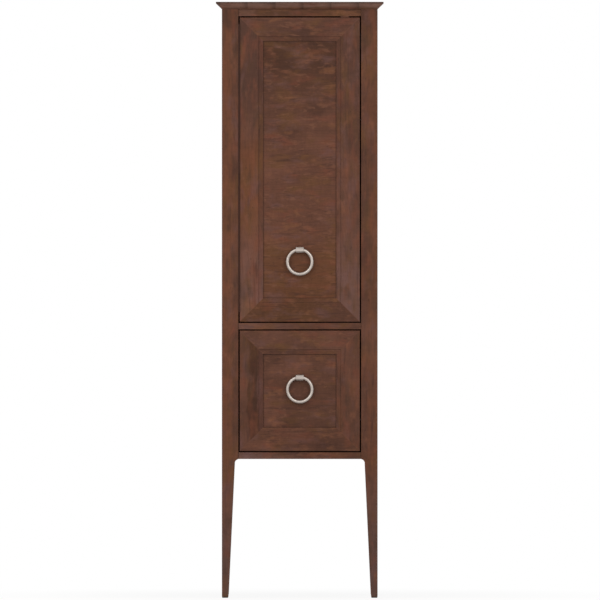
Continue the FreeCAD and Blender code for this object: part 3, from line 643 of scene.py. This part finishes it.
coated, tree, shader, spot = finish("black_coated_steel")
run = add(tree, "ShaderNodeMapping", {"Vector": spot, "Rotation": TURNED["back"]}).outputs[0]
grease = patches(tree, run, GREASE_MM, Detail=2.0)
peel = patches(tree, spot, PEEL_MM, Detail=1.0)
colour = tint(tree, linear("#1b1918"), [(grease, 0.5, 0.75, 0.5, "#272321")])
gloss = add(tree, "ShaderNodeMapRange", {"Value": grease, "From Min": 0.35, "From Max": 0.7,
                                         "To Min": 0.56, "To Max": 0.36})
relief = add(tree, "ShaderNodeBump", {"Height": peel, "Strength": 0.15, "Distance": 0.04 * MM})
coat(tree, shader, {"Base Color": colour, "Roughness": gloss.outputs[0], "Normal": relief.outputs[0]},
     {"Specular IOR Level": 0.3})
for name in slides:
    dress(name, coated)
print(len(slides), "pieces of black-coated steel")

# %% [markdown]
# ## Bronzed steel
# The photograph shows a brown strip in the gap on the left of the door, a little short of both its ends: the
# rolled barrel of a continuous hinge. Its steel has a thin bronze plate that was browned in a bath and oiled.
# What the eye sees is the brown oxide, no mirror but satin, with streaks along the roll and edges rubbed
# brighter.

# %% Brown bronze plate
OILED_MM = (46, 7)
# The lines that rolling leaves are about a tenth of a millimetre wide; they are drawn coarser to show.
DRAWN_MM = (22, 0.8)
HINGE_EDGE_MM = 0.6

bronze, tree, shader, spot = finish("brown_bronzed_steel")
rolled = add(tree, "ShaderNodeMapping", {"Vector": spot, "Rotation": TURNED["up"]}).outputs[0]
oiled = patches(tree, rolled, OILED_MM, Detail=3.0, Distortion=0.5)
drawn = patches(tree, rolled, DRAWN_MM, Detail=2.0)
looked_in = add(tree, "ShaderNodeAmbientOcclusion", {"Distance": HINGE_EDGE_MM * MM}, samples=LOOKS,
                inside=True, only_local=True)
colour = tint(tree, linear("#462a1f"), [(oiled, 0.4, 0.7, 0.7, "#382118"), (drawn, 0.5, 0.75, 0.4, "#513426"),
                                        (looked_in.outputs["AO"], 0.8, 0.4, 0.3, "#684634")])
gloss = add(tree, "ShaderNodeMapRange", {"Value": oiled, "From Min": 0.35, "From Max": 0.7,
                                         "To Min": 0.5, "To Max": 0.38})
relief = add(tree, "ShaderNodeBump", {"Height": drawn, "Strength": 0.15, "Distance": 0.04 * MM})
coat(tree, shader, {"Base Color": colour, "Roughness": gloss.outputs[0], "Normal": relief.outputs[0]},
     {"Specular IOR Level": 0.2})
hinge_pieces = ["hinge_post_leaf", "hinge_door_leaf", "hinge_pin"]
for name in hinge_pieces:
    dress(name, bronze)
print(len(hinge_pieces), "pieces of bronzed steel")

# %% [markdown]
# ## Bright zinc
# Screws and the strike plate of the catch are steel with bright zinc plate. Its passivation leaves a bluish
# sheen with a yellow cast here and there, and tumbling in a barrel leaves small dull marks.

# %% Bright zinc plate
CAST_MM = (5, 5)
MARK_MM = (1.2, 1.2)

zinc, tree, shader, spot = finish("bright_zinc_plate")
cast = patches(tree, spot, CAST_MM, Detail=2.0, Distortion=0.8)
mark = patches(tree, spot, MARK_MM, Detail=1.0)
colour = tint(tree, linear("#b9bec4"), [(cast, 0.5, 0.72, 0.5, "#c4bd9f"), (mark, 0.6, 0.75, 0.5, "#94989c")])
gloss = add(tree, "ShaderNodeMapRange", {"Value": mark, "From Min": 0.35, "From Max": 0.7,
                                         "To Min": 0.24, "To Max": 0.42})
relief = add(tree, "ShaderNodeBump", {"Height": mark, "Strength": 0.15, "Distance": 0.04 * MM})
coat(tree, shader, {"Base Color": colour, "Roughness": gloss.outputs[0], "Normal": relief.outputs[0]},
     {"Metallic": 1.0})
dress("strike_plate", zinc)
print("strike plate in bright zinc")

# %% [markdown]
# ## Nylon and ferrite
# The glides under the legs and the catch are moulded in dark brown nylon: matt, with the fine spark grain of
# the mould. The magnet is sintered ferrite, a dark grey ceramic with a sandy surface.

# %% Moulded nylon
# Spark grain is about a tenth of a millimetre; it is drawn coarser to show.
SPARK_MM = (0.8, 0.8)
FLOW_MM = (14, 9)

nylon, tree, shader, spot = finish("moulded_brown_nylon")
spark = patches(tree, spot, SPARK_MM, Detail=1.0)
flow = patches(tree, spot, FLOW_MM, Detail=2.0, Distortion=0.8)
colour = tint(tree, linear("#37291f"), [(flow, 0.45, 0.7, 0.6, "#423226"),
                                        (spark, 0.55, 0.75, 0.4, "#2b2019")])
gloss = add(tree, "ShaderNodeMapRange", {"Value": spark, "To Min": 0.62, "To Max": 0.48})
relief = add(tree, "ShaderNodeBump", {"Height": spark, "Strength": 0.3, "Distance": 0.05 * MM})
coat(tree, shader, {"Base Color": colour, "Roughness": gloss.outputs[0], "Normal": relief.outputs[0]},
     {"Specular IOR Level": 0.35})
for name in ("foot_glides", "catch_body"):
    dress(name, nylon)
print("glides and catch in nylon")

# %% Sintered ferrite
# The grains are far finer than a millimetre; they are drawn coarser to show.
SAND_MM = (0.7, 0.7)

ferrite, tree, shader, spot = finish("sintered_ferrite")
sand = patches(tree, spot, SAND_MM, Detail=2.0)
colour = tint(tree, linear("#3d3d40"), [(sand, 0.5, 0.7, 0.6, "#55555a")])
gloss = add(tree, "ShaderNodeMapRange", {"Value": sand, "To Min": 0.8, "To Max": 0.62})
relief = add(tree, "ShaderNodeBump", {"Height": sand, "Strength": 0.4, "Distance": 0.08 * MM})
coat(tree, shader, {"Base Color": colour, "Roughness": gloss.outputs[0], "Normal": relief.outputs[0]}, {})
dress("catch_magnet", ferrite)
print("magnet in ferrite")

# %% [markdown]
# ## Screws
# The solids hold every screw in its place, as a plain head on a plain shank. A real head has a domed or flat
# face with a cross in it for the driver, and that cross is what the eye looks for. Each screw is found as a
# loose part of its node: its longest side is its axis, the end with the wide corners is its head, and a head
# with two wide levels is domed. A lathed head with a real recess then stands where the plain one stood.


# %% Find the screws
def loose_corners(piece):
    """The corners of each separate solid in a node."""
    sheet = bmesh.new()
    sheet.from_mesh(piece.data)
    bmesh.ops.remove_doubles(sheet, verts=sheet.verts, dist=WELD_MM * MM)
    left = set(sheet.verts)
    groups = []
    while left:
        found = [left.pop()]
        for corner in found:
            near = {edge.other_vert(corner) for edge in corner.link_edges} & left
            left -= near
            found.extend(near)
        groups.append([corner.co.copy() for corner in found])
    sheet.free()
    return groups


def read_screw(corners):
    """Head point, outward direction, length, head radius, shank radius and head height of a screw."""
    low = Vector([min(corner[k] for corner in corners) for k in range(3)])
    high = Vector([max(corner[k] for corner in corners) for k in range(3)])
    axis = max(range(3), key=lambda k: high[k] - low[k])
    middle = (low + high) / 2
    reach = {}
    for corner in corners:
        level = round(corner[axis], 6)
        off = corner - middle
        off[axis] = 0
        reach[level] = max(reach.get(level, 0), off.length)
    head_radius, shank_radius = max(reach.values()), min(reach.values())
    wide = [level for level, radius in reach.items() if radius > (head_radius + shank_radius) / 2]
    outward = 1 if sum(wide) / len(wide) > middle[axis] else -1
    top = middle.copy()
    top[axis] = high[axis] if outward > 0 else low[axis]
    direction = Vector([outward if k == axis else 0 for k in range(3)])
    return top, direction, high[axis] - low[axis], head_radius, shank_radius, max(wide) - min(wide)


# %% Outline and cross of a screw
# A domed head: shares of its radius, and of its height below its top
DOME = [(0.68, 0.0), (0.86, 0.12), (0.96, 0.35), (1.0, 0.65), (1.0, 1.0)]
DOMED_FROM_MM = 0.1
# A countersunk head, in shares of its radius: how far its flat face reaches and how deep its thin rim is
FACE_REACH = 0.94
RIM_DEPTH = 0.02
# The tip, as a share of the shank's radius
TIP_SHARE = 0.2
# The cross, in shares of the head's radius, and the share of its size that is left at its foot
CROSS_REACH = 0.58
CROSS_HALF_WIDTH = 0.15
CROSS_DEPTH = 0.32
CROSS_TAPER = 0.55


def screw_outline(length, head, shank, head_height):
    """Radius and depth of each ring of a screw, from its face to its tip."""
    if head_height > DOMED_FROM_MM * MM:
        outline = [(share * head, -level * head_height) for share, level in DOME] + [(shank, -head_height)]
    else:
        outline = [(FACE_REACH * head, 0), (head, -RIM_DEPTH * head), (shank, shank - head)]
    return outline + [(shank, 2 * shank - length), (TIP_SHARE * shank, -length)]


def cross_corners(head):
    """The twelve corners of the cross on a screw's face."""
    arm, half = CROSS_REACH * head, CROSS_HALF_WIDTH * head
    quarter = [Vector((arm, -half, 0)), Vector((arm, half, 0)), Vector((half, half, 0))]
    turns = [Matrix.Rotation(math.pi / 2 * turn, 3, "Z") for turn in range(4)]
    return [turn @ corner for turn in turns for corner in quarter]


# %% Make a screw
SCREW_SIDES = 24


def add_screw(sheet, top, direction, length, head, shank, head_height):
    """Lathes one screw with a cross recess into a mesh."""
    place = Matrix.Translation(top) @ direction.to_track_quat("Z", "Y").to_matrix().to_4x4()
    turns = [2 * math.pi * step / SCREW_SIDES for step in range(SCREW_SIDES)]
    rings = [[sheet.verts.new(place @ Vector((radius * math.cos(turn), radius * math.sin(turn), depth)))
              for turn in turns] for radius, depth in screw_outline(length, head, shank, head_height)]
    down = Vector((0, 0, CROSS_DEPTH * head))
    cross = cross_corners(head)
    rim = [sheet.verts.new(place @ corner) for corner in cross]
    foot = [sheet.verts.new(place @ (corner * CROSS_TAPER - down)) for corner in cross]
    for upper, lower in zip(rings, rings[1:]):
        for at in range(SCREW_SIDES):
            sheet.faces.new((upper[at - 1], lower[at - 1], lower[at], upper[at])).smooth = True
    for at in range(len(cross)):
        sheet.faces.new((rim[at - 1], rim[at], foot[at], foot[at - 1]))
    sheet.faces.new(foot)
    sheet.faces.new(reversed(rings[-1]))
    edges = [sheet.edges.get((loop[at - 1], loop[at])) or sheet.edges.new((loop[at - 1], loop[at]))
             for loop in (rings[0], rim) for at in range(len(loop))]
    bmesh.ops.triangle_fill(sheet, use_beauty=True, edges=edges, normal=direction)


# %% Put the screws in
SHARP_FROM_DEGREES = 40

screw_bodies = {"case_screws": "case", "door_screws": "door", "drawer_screws": "drawer",
                "door_pull_screw": "door", "drawer_pull_screw": "drawer"}
for node, body in screw_bodies.items():
    sheet = bmesh.new()
    found = [read_screw(corners) for corners in loose_corners(pieces[node])]
    for screw in found:
        add_screw(sheet, *screw)
    bmesh.ops.recalc_face_normals(sheet, faces=sheet.faces)
    mesh = bpy.data.meshes.new(f"{node}_cross_head")
    sheet.to_mesh(mesh)
    sheet.free()
    mesh.set_sharp_from_angle(angle=math.radians(SHARP_FROM_DEGREES))
    mesh.materials.append(zinc)
    screws = bpy.data.objects.new(f"{node}_cross_head", mesh)
    scene.collection.objects.link(screws)
    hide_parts(node)
    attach(screws, body)
    print(len(found), "screws for", node)
